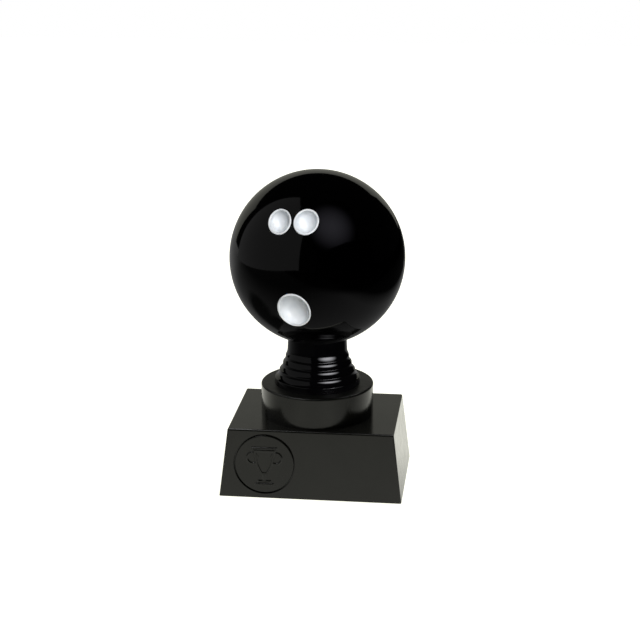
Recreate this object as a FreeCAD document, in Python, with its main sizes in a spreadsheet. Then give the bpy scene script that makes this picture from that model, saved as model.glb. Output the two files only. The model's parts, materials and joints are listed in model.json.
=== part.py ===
"""Bowling trophy: a hollow black ball on a tiered neck, a round riser and a tapered plinth.

Frame: millimetres, +Z up, origin at the centre of the underside, front of the plinth towards -Y.
One threaded stud on the Z axis ties the stack together. Ball, neck, stud and nuts turn as one
figure on top of the riser. Every size is a cell of the sheet "Sizes"; the features are bound to it.
"""
import FreeCAD, Part
import math
import os
import re

import Sketcher
from FreeCAD import Placement, Rotation, Vector

SIZES = {
    # plinth: a tapered box with an open underside
    "plinth_width": 78.3,
    "plinth_depth": 57.0,
    "plinth_height": 30.7,
    "side_taper": 3.7,
    "face_taper": 1.6,
    "plinth_wall": 2.2,
    "plinth_roof": 2.5,
    "plinth_rounding": 0.8,
    "rib_thickness": 1.6,
    "boss_radius": 8.0,
    "wrench_room": 4.0,
    "post_radius": 3.2,
    "post_margin": 0.6,
    # underside: felt pad, cover, ballast and screws
    "pad_thickness": 1.0,
    "pad_proud": 0.5,
    "pad_inset": 2.0,
    "pad_corner": 4.0,
    "cover_thickness": 1.8,
    "cover_gap": 0.2,
    "cover_corner": 1.0,
    "ballast_thickness": 4.5,
    "ballast_gap": 0.5,
    "screw_radius": 1.25,
    "screw_length": 10.0,
    "screw_point": 1.5,
    "screw_head_radius": 2.5,
    "screw_gap": 0.05,
    "screw_clearance": 0.2,
    "recess_arm": 1.3,
    "recess_half_width": 0.3,
    "recess_depth": 0.8,
    # emblem let into the front face: a plain cup in low relief
    "emblem_diameter": 25.4,
    "emblem_groove": 0.6,
    "emblem_thickness": 1.2,
    "emblem_margin": 4.45,
    "emblem_sink": 0.05,
    "relief_height": 0.4,
    "cup_rim_half": 5.6,
    "cup_half_height": 8.6,
    "cup_drop": 1.2,
    "cup_lip_height": 1.0,
    "cup_lip_overhang": 0.7,
    "cup_bowl_radius": 11.0,
    "cup_stem_half": 0.8,
    "cup_stem_height": 2.6,
    "cup_step_half": 3.0,
    "cup_step_height": 1.2,
    "cup_foot_half": 4.2,
    "cup_foot_height": 1.4,
    "handle_radius": 2.8,
    "handle_width": 0.8,
    "handle_level": 3.8,
    "handle_inset": 0.6,
    # riser disc between plinth and neck
    "riser_diameter": 48.8,
    "riser_height": 13.8,
    "riser_wall": 2.2,
    "riser_roof": 2.5,
    "riser_rounding": 0.9,
    "peg_radius": 1.5,
    "peg_length": 1.8,
    "peg_spacing": 32.0,
    "peg_gap": 0.1,
    # tie stud, nuts and washer
    "stud_diameter": 6.0,
    "stud_tail": 1.2,
    "stud_chamfer": 0.6,
    "nut_flats": 10.0,
    "nut_thickness": 5.0,
    "nut_chamfer": 0.45,
    "nut_thread_gap": 0.02,
    "washer_diameter": 12.0,
    "washer_thickness": 1.6,
    "loose_gap": 0.2,
    # the turning fit of the figure on the riser
    "turn_clearance": 0.05,
    "turn_gap": 0.05,
    # neck
    "neck_height": 20.3,
    "neck_top_radius": 12.7,
    "neck_foot_radius": 18.6,
    "neck_wall": 2.2,
    "neck_tube_radius": 5.4,
    "neck_crown": 5.1,
    "neck_edge": 0.3,
    "seat_gap": 0.03,
    # ball: two half shells with a lap joint, a nut pocket and sockets for the cups
    "ball_diameter": 75.0,
    "ball_wall": 2.2,
    "lip_length": 2.0,
    "lip_root": 3.0,
    "lip_thickness": 1.7,
    "lip_cover": 1.2,
    "lip_gap": 0.1,
    "nut_seat": 5.5,
    "nut_wall": 2.4,
    "boss_cap": 2.6,
    "grip_turn": -8.6,
    "grip_tilt": 9.5,
    "socket_wall": 1.2,
    "socket_gap": 0.05,
    # finger and thumb cups, placed across and up from the grip axis
    "finger_radius": 5.2,
    "finger_depth": 7.0,
    "finger_bridge": 0.9,
    "finger_pair_across": -2.35,
    "finger_left_up": 16.4,
    "finger_right_up": 17.0,
    "thumb_radius": 7.2,
    "thumb_depth": 8.0,
    "thumb_across": -0.7,
    "thumb_up": -19.5,
    "cup_wall": 0.8,
    "cup_round": 3.0,
    "cup_sink": 0.1,
}

# Tiers of the neck from the top down: radius and height of each waist and of the edge below it,
# and the radius of the flare between them.
TIERS = [
    (12.9, 15.4, 13.7, 12.3, 6.5),
    (13.75, 11.7, 14.9, 9.2, 3.4),
    (14.95, 8.6, 16.4, 5.9, 3.3),
    (16.45, 5.2, 18.3, 2.5, 3.0),
]
for step, tier_sizes in enumerate(TIERS, start=1):
    waist_names = (f"waist_{step}_radius", f"waist_{step}_height")
    edge_names = (f"edge_{step}_radius", f"edge_{step}_height", f"flare_{step}_radius")
    SIZES.update(zip(waist_names + edge_names, tier_sizes))

# Levels and places that several pieces share, as formulas of the sheet.
SHELL_HEIGHT = "(plinth_height - pad_proud)"
ROOF_BOTTOM = "(plinth_height - plinth_roof)"
ROOF_MIDDLE = "(plinth_height - plinth_roof / 2)"
COVER_TOP = "(pad_thickness + cover_thickness)"
RIB_BOTTOM = f"({COVER_TOP} + ballast_thickness + ballast_gap)"
NUT_TOP = f"({RIB_BOTTOM} + stud_tail + nut_thickness)"
BOSS_BOTTOM = f"({NUT_TOP} + turn_gap + washer_thickness)"
FOOT_LEVEL = "(plinth_height + riser_height + turn_gap)"
BALL_RADIUS = "(ball_diameter / 2)"
SEAT_RADIUS = f"({BALL_RADIUS} + seat_gap)"
SEAT_CENTRE = f"(neck_height + sqrt({SEAT_RADIUS} ^ 2 - neck_top_radius ^ 2))"
BALL_CENTRE = f"({FOOT_LEVEL} + {SEAT_CENTRE})"
BALL_BOTTOM = f"({BALL_CENTRE} - {BALL_RADIUS})"
BORE_TURNING = "(stud_diameter / 2 + turn_clearance)"
BORE_LOOSE = "(stud_diameter / 2 + loose_gap)"
NUT_POCKET = "(nut_thickness + loose_gap)"
NUT_CORNER = "(nut_flats / 2 / cos(30 deg))"
POST_X = "(plinth_width / 2 - side_taper - plinth_wall - post_margin - post_radius)"
POST_Y = "(plinth_depth / 2 - face_taper - plinth_wall - post_margin - post_radius)"
POSTS = [(f"{x_sign} * {POST_X}", f"{y_sign} * {POST_Y}") for x_sign in (-1, 1) for y_sign in (-1, 1)]
EMBLEM_LEVEL = "((plinth_height + pad_proud) / 2)"
EMBLEM_POCKET = "(emblem_thickness + emblem_sink)"
EMBLEM_OPENING = "(emblem_diameter / 2 + emblem_groove)"
EMBLEM_X = f"(emblem_margin + {EMBLEM_OPENING} + side_taper / 2 - plinth_width / 2)"
EMBLEM_FACE = "(plinth_depth / 2 - face_taper / 2)"
FACE_LEAN = f"atan(face_taper / {SHELL_HEIGHT})"

FINGER_OFFSET = "(finger_radius + finger_bridge / 2)"

# Each cup: radius, depth, and its place across and up from the grip axis.
CUPS = {
    "finger_cup_left": ("finger_radius", "finger_depth", f"(finger_pair_across - {FINGER_OFFSET})",
                        "finger_left_up"),
    "finger_cup_right": ("finger_radius", "finger_depth", f"(finger_pair_across + {FINGER_OFFSET})",
                         "finger_right_up"),
    "thumb_cup": ("thumb_radius", "thumb_depth", "thumb_across", "thumb_up"),
}

doc = FreeCAD.newDocument("bowling_trophy")
sheet = doc.addObject("Spreadsheet::Sheet", "Sizes")
for row, (alias, size) in enumerate(SIZES.items(), start=1):
    sheet.set(f"A{row}", alias)
    sheet.set(f"B{row}", str(size))
    sheet.setAlias(f"B{row}", alias)
doc.recompute()


# ---------------------------------------------------------------- formulas and sketches

def in_sheet(formula):
    """The formula with each size written as a cell of the sheet."""
    cells = {alias: f"Sizes.{alias}" for alias in SIZES}
    return re.sub(r"[A-Za-z_]\w*", lambda word: cells.get(word.group(), word.group()), formula)


def value(formula):
    """The number that a formula gives now."""
    result = sheet.evalExpression(in_sheet(formula))
    return float(getattr(result, "Value", result))


def bind(thing, **formulas):
    """Bind properties to formulas; two underscores in a name stand for a dot."""
    for name, formula in formulas.items():
        thing.setExpression(name.replace("__", "."), in_sheet(formula))


def new_body(name):
    body = doc.addObject("PartDesign::Body", name)
    body.Label = name
    return body


def new_sketch(body, name, role="XY_Plane", **offset):
    """A sketch on one of the body's origin planes, moved by formulas for x, y and z."""
    sketch = body.newObject("Sketcher::SketchObject", name)
    plane = next(part for part in body.Origin.OriginFeatures if part.Role == role)
    sketch.AttachmentSupport = [(plane, "")]
    sketch.MapMode = "FlatFace"
    bind(sketch, **{f"AttachmentOffset__Base__{axis}": formula for axis, formula in offset.items()})
    return sketch


def fix(sketch, kind, formula, *geometry):
    """Add a dimension that follows a formula."""
    index = sketch.addConstraint(Sketcher.Constraint(kind, *geometry, value(formula)))
    sketch.setExpression(f"Constraints[{index}]", in_sheet(formula))


def add_circle(sketch, x, y, radius):
    shape = Part.Circle(Vector(value(x), value(y), 0), Vector(0, 0, 1), value(radius))
    circle = sketch.addGeometry(shape)
    fix(sketch, "DistanceX", x, circle, 3)
    fix(sketch, "DistanceY", y, circle, 3)
    fix(sketch, "Radius", radius, circle)


def arc_between(start, end, radius, turn):
    """The short arc from start to end; turn +1 runs anticlockwise, -1 clockwise."""
    chord = end - start
    rise = math.sqrt(radius ** 2 - (chord.Length / 2) ** 2)
    sideways = Vector(-chord.y, chord.x, 0).normalize()
    centre = (start + end) * 0.5 + sideways * rise * turn
    first, last = (start, end) if turn > 0 else (end, start)
    angles = [math.atan2(spot.y - centre.y, spot.x - centre.x) for spot in (first, last)]
    return Part.ArcOfCircle(Part.Circle(centre, Vector(0, 0, 1), radius), *angles)


def add_outline(sketch, corners):
    """A closed outline. A corner is (x, y), or (x, y, radius, turn) when an arc leaves it."""
    spots = [Vector(value(corner[0]), value(corner[1]), 0) for corner in corners]
    edges = []
    for index, corner in enumerate(corners):
        start = spots[index]
        end = spots[(index + 1) % len(spots)]
        shape = Part.LineSegment(start, end)
        head, tail = 1, 2
        if len(corner) == 4:
            shape = arc_between(start, end, value(corner[2]), corner[3])
            head, tail = (1, 2) if corner[3] > 0 else (2, 1)
        edges.append((sketch.addGeometry(shape), head, tail))
    for index, (edge, _, tail) in enumerate(edges):
        next_edge, next_head, _ = edges[(index + 1) % len(edges)]
        sketch.addConstraint(Sketcher.Constraint("Coincident", edge, tail, next_edge, next_head))
    for (edge, head, _), corner in zip(edges, corners):
        fix(sketch, "DistanceX", corner[0], edge, head)
        fix(sketch, "DistanceY", corner[1], edge, head)
        if len(corner) == 4:
            fix(sketch, "Radius", corner[2], edge)


def add_rectangle(sketch, half_x, half_y):
    signs = ((-1, -1), (1, -1), (1, 1), (-1, 1))
    add_outline(sketch, [(f"{x_sign} * {half_x}", f"{y_sign} * {half_y}") for x_sign, y_sign in signs])


def add_rounded_rectangle(sketch, half_x, half_y, radius):
    corners = []
    for x_sign, y_sign in ((1, -1), (1, 1), (-1, 1), (-1, -1)):
        on_level_side = (f"{x_sign} * ({half_x} - {radius})", f"{y_sign} * {half_y}")
        on_upright_side = (f"{x_sign} * {half_x}", f"{y_sign} * ({half_y} - {radius})")
        arc = (radius, 1)
        if x_sign * y_sign < 0:
            corners += [on_level_side + arc, on_upright_side]
        else:
            corners += [on_upright_side + arc, on_level_side]
    add_outline(sketch, corners)


def add_hexagon(sketch, corner_radius):
    turns = [(f"{corner_radius} * cos({60 * step} deg)", f"{corner_radius} * sin({60 * step} deg)")
             for step in range(6)]
    add_outline(sketch, turns)


# ---------------------------------------------------------------- features

def feature(body, kind, name, sketch, length, **settings):
    """A pad or pocket along the sketch's normal. Its length is a formula."""
    made = body.newObject(f"PartDesign::{kind}", name)
    made.Profile = (sketch, [""])
    bind(made, Length=length)
    for setting, choice in settings.items():
        setattr(made, setting, choice)
    doc.recompute()
    return made


def pad(body, name, sketch, length, **settings):
    return feature(body, "Pad", name, sketch, length, **settings)


def pocket(body, name, sketch, length, **settings):
    """A pocket, which has to take material away."""
    before = body.Shape.Volume
    made = feature(body, "Pocket", name, sketch, length, **settings)
    if made.Shape.Volume > before - 1e-6:
        raise RuntimeError(f"{name} cuts nothing")
    return made


def revolve(body, name, sketch):
    made = body.newObject("PartDesign::Revolution", name)
    made.Profile = (sketch, [""])
    made.ReferenceAxis = (sketch, ["V_Axis"])
    made.Angle = 360
    doc.recompute()
    return made


def dress(body, kind, name, size, chosen):
    """A fillet or chamfer on the edges of the last feature that chosen(edge) picks."""
    last = body.Tip
    names = [f"Edge{index}" for index, edge in enumerate(last.Shape.Edges, start=1) if chosen(edge)]
    if not names:
        raise RuntimeError(f"{name} finds no edge")
    made = body.newObject(f"PartDesign::{kind}", name)
    made.Base = (last, names)
    bind(made, **{"Radius" if kind == "Fillet" else "Size": size})
    doc.recompute()
    return made


def is_circle(edge, radius, level):
    """True for a circular edge with this radius at this level of the body."""
    if not isinstance(edge.Curve, Part.Circle):
        return False
    return abs(edge.Curve.Radius - radius) < 0.01 and abs(edge.Curve.Center.z - level) < 0.01


def tapered_box(body, kind, name, inset, top):
    """A box whose walls lean as the plinth's do, inset from them, from the rim up to top."""
    box = body.newObject(f"PartDesign::{kind}", name)
    box.Placement = Placement(Vector(), Rotation(Vector(1, 0, 0), 90))
    climb = f"(({top} - pad_proud) / {SHELL_HEIGHT})"
    low_x = f"(plinth_width / 2 - {inset})"
    low_y = f"(plinth_depth / 2 - {inset})"
    high_x = f"({low_x} - side_taper * {climb})"
    high_y = f"({low_y} - face_taper * {climb})"
    bind(box, Placement__Base__z="pad_proud", Ymin="0", Ymax=f"{top} - pad_proud")
    bind(box, Xmin=f"- {low_x}", Xmax=low_x, Zmin=f"- {low_y}", Zmax=low_y)
    bind(box, X2min=f"- {high_x}", X2max=high_x, Z2min=f"- {high_y}", Z2max=high_y)
    doc.recompute()
    return box


def solid(kind, name, **formulas):
    """A Part primitive bound to formulas."""
    made = doc.addObject(f"Part::{kind}", name)
    bind(made, **formulas)
    return made


def combine(kind, name, pieces):
    """A MultiFuse or MultiCommon of several objects."""
    made = doc.addObject(f"Part::{kind}", name)
    made.Shapes = pieces
    return made


def cut(name, base, tool):
    made = doc.addObject("Part::Cut", name)
    made.Base = base
    made.Tool = tool
    made.Label = name
    return made


# ---------------------------------------------------------------- plinth and underside

def build_plinth_shell():
    body = new_body("plinth_shell")
    tapered_box(body, "AdditiveWedge", "plinth_blank", "0", "plinth_height")
    rim = value("pad_proud") + 0.01
    dress(body, "Fillet", "plinth_rounded", "plinth_rounding", lambda edge: edge.CenterOfMass.z > rim)
    tapered_box(body, "SubtractiveWedge", "plinth_cavity", "plinth_wall", ROOF_BOTTOM)

    rings = new_sketch(body, "post_rings", z=COVER_TOP)
    for x, y in POSTS:
        add_circle(rings, x, y, "post_radius")
    pad(body, "screw_posts", rings, f"{ROOF_MIDDLE} - {COVER_TOP}")

    ring = new_sketch(body, "boss_ring", z=BOSS_BOTTOM)
    add_circle(ring, "0", "0", "boss_radius")
    pad(body, "stud_boss", ring, f"{ROOF_MIDDLE} - {BOSS_BOTTOM}")

    add_plinth_ribs(body, "XZ_Plane", "plinth_width", "side_taper")
    add_plinth_ribs(body, "YZ_Plane", "plinth_depth", "face_taper")

    ring = new_sketch(body, "stud_bore_ring")
    add_circle(ring, "0", "0", BORE_TURNING)
    pocket(body, "stud_bore", ring, "plinth_height * 2", Reversed=True)

    rings = new_sketch(body, "pilot_rings", z=COVER_TOP)
    for x, y in POSTS:
        add_circle(rings, x, y, "screw_radius + screw_gap")
    pocket(body, "pilot_holes", rings, "screw_length", Reversed=True)

    rings = new_sketch(body, "peg_rings", z="plinth_height")
    for sign in ("-1", "1"):
        add_circle(rings, f"{sign} * peg_spacing / 2", "0", "peg_radius + peg_gap")
    pocket(body, "peg_holes", rings, "peg_length + peg_gap")

    ring = new_sketch(body, "emblem_ring", "XZ_Plane", x=EMBLEM_X, y=EMBLEM_LEVEL, z=EMBLEM_FACE)
    lean(ring, "AttachmentOffset", f"- {FACE_LEAN}")
    add_circle(ring, "0", "0", EMBLEM_OPENING)
    pocket(body, "emblem_pocket", ring, EMBLEM_POCKET)
    return body


def add_plinth_ribs(body, role, width, taper):
    """Two webs from the boss to opposite walls, with room for a wrench around the nut."""
    climb = f"(({RIB_BOTTOM} - pad_proud) / {SHELL_HEIGHT})"
    in_wall = f"({width} / 2 - plinth_wall / 2)"
    for side, sign in (("low", "-1"), ("high", "1")):
        web = new_sketch(body, f"web_{role[:2]}_{side}", role)
        add_outline(web, [
            (f"{sign} * boss_radius / 2", BOSS_BOTTOM),
            (f"{sign} * boss_radius", BOSS_BOTTOM),
            (f"{sign} * (boss_radius + wrench_room)", RIB_BOTTOM),
            (f"{sign} * ({in_wall} - {taper} * {climb})", RIB_BOTTOM),
            (f"{sign} * ({in_wall} - {taper})", ROOF_MIDDLE),
            (f"{sign} * boss_radius / 2", ROOF_MIDDLE),
        ])
        pad(body, f"rib_{role[:2]}_{side}", web, "rib_thickness", Midplane=True)


def lean(thing, placement, angle):
    """Turn a placement about X by a formula."""
    place = getattr(thing, placement)
    place.Rotation = Rotation(Vector(1, 0, 0), 1)
    setattr(thing, placement, place)
    bind(thing, **{f"{placement}__Rotation__Angle": angle})


def build_emblem_disc():
    body = new_body("emblem_disc")
    ring = new_sketch(body, "disc_ring")
    add_circle(ring, "0", "0", "emblem_diameter / 2")
    pad(body, "disc", ring, "emblem_thickness")

    foot_top = "(cup_foot_height - cup_half_height)"
    step_top = f"({foot_top} + cup_step_height)"
    bowl_bottom = f"({step_top} + cup_stem_height)"
    lip_bottom = "(cup_half_height - cup_lip_height)"
    bowl_top_half = "(cup_rim_half - cup_lip_overhang)"
    cup = new_sketch(body, "cup_outline", y="- cup_drop", z="emblem_thickness / 2")
    bulge = ("cup_bowl_radius", 1)
    right_side = [
        ("cup_foot_half", "- cup_half_height"),
        ("cup_foot_half", foot_top),
        ("cup_step_half", foot_top),
        ("cup_step_half", step_top),
        ("cup_stem_half", step_top),
        ("cup_stem_half", bowl_bottom) + bulge,
        (bowl_top_half, lip_bottom),
        ("cup_rim_half", lip_bottom),
        ("cup_rim_half", "cup_half_height"),
    ]
    left_side = [(f"-1 * {corner[0]}", corner[1]) for corner in reversed(right_side)]
    left_side[2] += bulge
    add_outline(cup, right_side + left_side)
    pad(body, "cup_relief", cup, "emblem_thickness / 2 + relief_height")

    for side, sign in (("left", "-1"), ("right", "1")):
        handle = new_sketch(body, f"handle_rings_{side}", y="- cup_drop", z="emblem_thickness / 2")
        across = f"{sign} * (cup_rim_half - handle_inset)"
        add_circle(handle, across, "handle_level", "handle_radius")
        add_circle(handle, across, "handle_level", "handle_radius - handle_width")
        pad(body, f"handle_{side}", handle, "emblem_thickness / 2 + relief_height")

    sunk = f"({EMBLEM_FACE} - {EMBLEM_POCKET} * cos({FACE_LEAN}))"
    bind(body, Placement__Base__x=EMBLEM_X, Placement__Base__y=f"- {sunk}",
         Placement__Base__z=f"{EMBLEM_LEVEL} - {EMBLEM_POCKET} * sin({FACE_LEAN})")
    lean(body, "Placement", f"90 deg - {FACE_LEAN}")
    return body


def build_riser_disc():
    body = new_body("riser_disc")
    radius = "(riser_diameter / 2)"
    ceiling = "(riser_height - riser_roof)"
    section = new_sketch(body, "riser_section", "XZ_Plane")
    add_outline(section, [
        (BORE_TURNING, "0"),
        ("boss_radius", "0"),
        ("boss_radius", ceiling),
        (f"{radius} - riser_wall", ceiling),
        (f"{radius} - riser_wall", "0"),
        (radius, "0"),
        (radius, "riser_height"),
        (BORE_TURNING, "riser_height"),
    ])
    revolve(body, "riser_turned", section)
    dress(body, "Fillet", "riser_rounded", "riser_rounding",
          lambda edge: is_circle(edge, value(radius), value("riser_height")))

    web = new_sketch(body, "riser_web", "XZ_Plane")
    add_outline(web, [
        ("boss_radius - rib_thickness", "0"),
        (f"{radius} - riser_wall / 2", "0"),
        (f"{radius} - riser_wall / 2", "riser_height - riser_roof / 2"),
        ("boss_radius - rib_thickness", "riser_height - riser_roof / 2"),
    ])
    rib = pad(body, "riser_rib", web, "rib_thickness", Midplane=True)
    ribs = body.newObject("PartDesign::PolarPattern", "riser_ribs")
    ribs.Originals = [rib]
    ribs.Axis = (web, ["V_Axis"])
    ribs.Angle = 360
    ribs.Occurrences = 4
    body.Tip = ribs
    doc.recompute()

    rings = new_sketch(body, "riser_peg_rings", z="- peg_length")
    for sign in ("-1", "1"):
        add_circle(rings, f"{sign} * peg_spacing / 2", "0", "peg_radius")
    pad(body, "riser_pegs", rings, "peg_length + riser_height / 2")
    bind(body, Placement__Base__z="plinth_height")
    return body


def cover_half(width, taper):
    """Half of the cover's width or depth, inside the leaning wall at the cover's top."""
    climb = f"(({COVER_TOP} - pad_proud) / {SHELL_HEIGHT})"
    return f"({width} / 2 - plinth_wall - cover_gap - {taper} * {climb})"


def build_base_cover():
    body = new_body("base_cover")
    plate = new_sketch(body, "cover_outline")
    half_x = cover_half("plinth_width", "side_taper")
    half_y = cover_half("plinth_depth", "face_taper")
    add_rounded_rectangle(plate, half_x, half_y, "cover_corner")
    pad(body, "cover_plate", plate, "cover_thickness")
    rings = new_sketch(body, "cover_hole_rings")
    for x, y in POSTS:
        add_circle(rings, x, y, "screw_radius + screw_clearance")
    pocket(body, "cover_holes", rings, "cover_thickness", Reversed=True)
    hole = value("screw_radius + screw_clearance")
    dress(body, "Chamfer", "cover_countersinks", "screw_head_radius - screw_radius - screw_clearance / 2",
          lambda edge: is_circle(edge, hole, 0))
    bind(body, Placement__Base__z="pad_thickness")
    return body


def build_base_pad():
    body = new_body("base_pad")
    sheet_outline = new_sketch(body, "pad_outline")
    half_x = f"({cover_half('plinth_width', 'side_taper')} - pad_inset)"
    half_y = f"({cover_half('plinth_depth', 'face_taper')} - pad_inset)"
    add_rounded_rectangle(sheet_outline, half_x, half_y, "pad_corner")
    pad(body, "felt", sheet_outline, "pad_thickness")
    return body


def build_ballast_plate():
    body = new_body("ballast_plate")
    slab = new_sketch(body, "ballast_outline")
    half_x = f"({POST_X} - post_radius - ballast_gap)"
    half_y = "(plinth_depth / 2 - face_taper - plinth_wall - ballast_gap)"
    add_rectangle(slab, half_x, half_y)
    pad(body, "ballast", slab, "ballast_thickness")
    bind(body, Placement__Base__z=COVER_TOP)
    return body


def build_cover_screws():
    """Four equal countersunk screws, points up, heads flush with the cover."""
    screws = []
    for number, (x, y) in enumerate(POSTS, start=1):
        body = new_body(f"cover_screw_{number}")
        section = new_sketch(body, f"screw_section_{number}", "XZ_Plane")
        add_outline(section, [
            ("0", "0"),
            ("screw_head_radius", "0"),
            ("screw_radius", "screw_head_radius - screw_radius"),
            ("screw_radius", "screw_length - screw_point"),
            ("0", "screw_length"),
        ])
        revolve(body, f"screw_turned_{number}", section)
        recess = new_sketch(body, f"screw_recess_{number}")
        add_cross(recess, "recess_arm", "recess_half_width")
        pocket(body, f"screw_cross_{number}", recess, "recess_depth", Reversed=True)
        bind(body, Placement__Base__x=x, Placement__Base__y=y, Placement__Base__z="pad_thickness")
        screws.append(body)
    group = doc.addObject("Part::Compound", "cover_screws")
    group.Label = "cover_screws"
    group.Links = screws
    return group


def add_cross(sketch, arm, half):
    quarter = [(arm, f"- {half}"), (arm, half), (half, half)]
    corners = []
    for turn in range(4):
        for x, y in quarter:
            for _ in range(turn):
                x, y = f"- ({y})", x
            corners.append((x, y))
    add_outline(sketch, corners)


# ---------------------------------------------------------------- stud, nuts and washer

def build_tie_stud():
    body = new_body("tie_stud")
    ring = new_sketch(body, "stud_ring")
    add_circle(ring, "0", "0", "stud_diameter / 2")
    top = f"({BALL_BOTTOM} + nut_seat + nut_thickness + stud_tail)"
    pad(body, "rod", ring, f"{top} - {RIB_BOTTOM}")
    dress(body, "Chamfer", "stud_ends", "stud_chamfer", lambda edge: isinstance(edge.Curve, Part.Circle))
    bind(body, Placement__Base__z=RIB_BOTTOM)
    return body


def build_nut(name, level, turn):
    """A hexagon nut: a chamfered disc of the corner size, cut to six flats."""
    body = new_body(name)
    bore = "(stud_diameter / 2 + nut_thread_gap)"
    section = new_sketch(body, f"{name}_section", "XZ_Plane")
    add_outline(section, [
        (bore, "0"),
        ("nut_flats / 2 - nut_chamfer / 2", "0"),
        (NUT_CORNER, "nut_chamfer"),
        (NUT_CORNER, "nut_thickness - nut_chamfer"),
        ("nut_flats / 2 - nut_chamfer / 2", "nut_thickness"),
        (bore, "nut_thickness"),
    ])
    revolve(body, f"{name}_turned", section)
    flats = new_sketch(body, f"{name}_flats")
    add_hexagon(flats, NUT_CORNER)
    add_circle(flats, "0", "0", "nut_flats")
    pocket(body, f"{name}_hexagon", flats, "nut_thickness", Reversed=True)
    body.Placement = Placement(Vector(), Rotation(Vector(0, 0, 1), 1))
    bind(body, Placement__Base__z=level, Placement__Rotation__Angle=turn)
    return body


def build_clamp_washer():
    body = new_body("clamp_washer")
    rings = new_sketch(body, "washer_rings")
    add_circle(rings, "0", "0", "washer_diameter / 2")
    add_circle(rings, "0", "0", BORE_LOOSE)
    pad(body, "washer", rings, "washer_thickness")
    bind(body, Placement__Base__z=f"{BOSS_BOTTOM} - washer_thickness")
    return body


# ---------------------------------------------------------------- neck

def build_neck():
    """Four flared tiers above a plain foot, cored from below, with a seat for the ball."""
    body = new_body("neck")
    section = new_sketch(body, "neck_section", "XZ_Plane")
    core_top = "(neck_height - neck_crown)"
    corners = [
        (BORE_LOOSE, "0"),
        ("neck_tube_radius", "0"),
        ("neck_tube_radius", core_top),
        ("neck_top_radius - neck_wall", core_top),
        ("neck_foot_radius - neck_wall", "0"),
        ("neck_foot_radius", "0"),
    ]
    for tier in range(len(TIERS), 0, -1):
        corners.append((f"edge_{tier}_radius", f"edge_{tier}_height", f"flare_{tier}_radius", -1))
        corners.append((f"waist_{tier}_radius", f"waist_{tier}_height"))
    corners.append(("neck_top_radius", "neck_height", SEAT_RADIUS, -1))
    corners.append((BORE_LOOSE, f"{SEAT_CENTRE} - sqrt({SEAT_RADIUS} ^ 2 - {BORE_LOOSE} ^ 2)"))
    add_outline(section, corners)
    revolve(body, "neck_turned", section)
    edges = [(value(f"edge_{tier}_radius"), value(f"edge_{tier}_height"))
             for tier in range(1, len(TIERS) + 1)]
    dress(body, "Fillet", "neck_edges", "neck_edge",
          lambda edge: any(is_circle(edge, radius, level) for radius, level in edges))
    bind(body, Placement__Base__z=FOOT_LEVEL)
    return body


# ---------------------------------------------------------------- ball

def tilt_to_grip(thing):
    """Lay a stack built along Z onto the grip axis, which rises from the front of the ball."""
    thing.Placement = Placement(Vector(), Rotation(Vector(1, 0, 0), 1))
    bind(thing, Placement__Rotation__Angle="90 deg - grip_tilt * 1 deg")


def place_in_figure(thing):
    """Set a ball piece on the neck, turned to where the grip faces."""
    thing.Placement = Placement(Vector(), Rotation(Vector(0, 0, 1), 1))
    bind(thing, Placement__Base__z=BALL_CENTRE, Placement__Rotation__Angle="grip_turn * 1 deg")


def cup_floor(depth, across, up):
    """Distance of a cup's floor from the ball's centre, along the grip axis."""
    return f"(sqrt({BALL_RADIUS} ^ 2 - {across} ^ 2 - {up} ^ 2) - {depth})"


def socket_set(name, margin, below):
    """Cylinders around the three cups, from below their floors out past the ball."""
    posts = []
    for cup, (radius, depth, across, up) in CUPS.items():
        floor = cup_floor(depth, across, up)
        posts.append(solid("Cylinder", f"{name}_{cup}", Radius=f"{radius} + {margin}",
                           Height=f"{BALL_RADIUS} - {floor} + {below}",
                           Placement__Base__x=across, Placement__Base__y=up,
                           Placement__Base__z=f"{floor} - {below}"))
    group = combine("MultiFuse", name, posts)
    tilt_to_grip(group)
    return group


def seam_ring(name, outer, inner, front, rear):
    """A ring about the front-to-rear axis, from front to rear of the parting plane."""
    length = f"{front} + {rear}"
    tube = cut(name, solid("Cylinder", f"{name}_outer", Radius=outer, Height=length),
               solid("Cylinder", f"{name}_inner", Radius=inner, Height=length))
    tube.Placement = Placement(Vector(), Rotation(Vector(1, 0, 0), 90))
    bind(tube, Placement__Base__y=rear)
    return tube


def half_space(name, sign):
    """A block over the front (-1) or rear (+1) half of the ball."""
    margin = f"({BALL_RADIUS} + 1)"
    start = "0" if sign > 0 else f"- {margin}"
    return solid("Box", name, Length=f"2 * {margin}", Width=margin, Height=f"2 * {margin}",
                 Placement__Base__x=f"- {margin}", Placement__Base__y=start,
                 Placement__Base__z=f"- {margin}")


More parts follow.
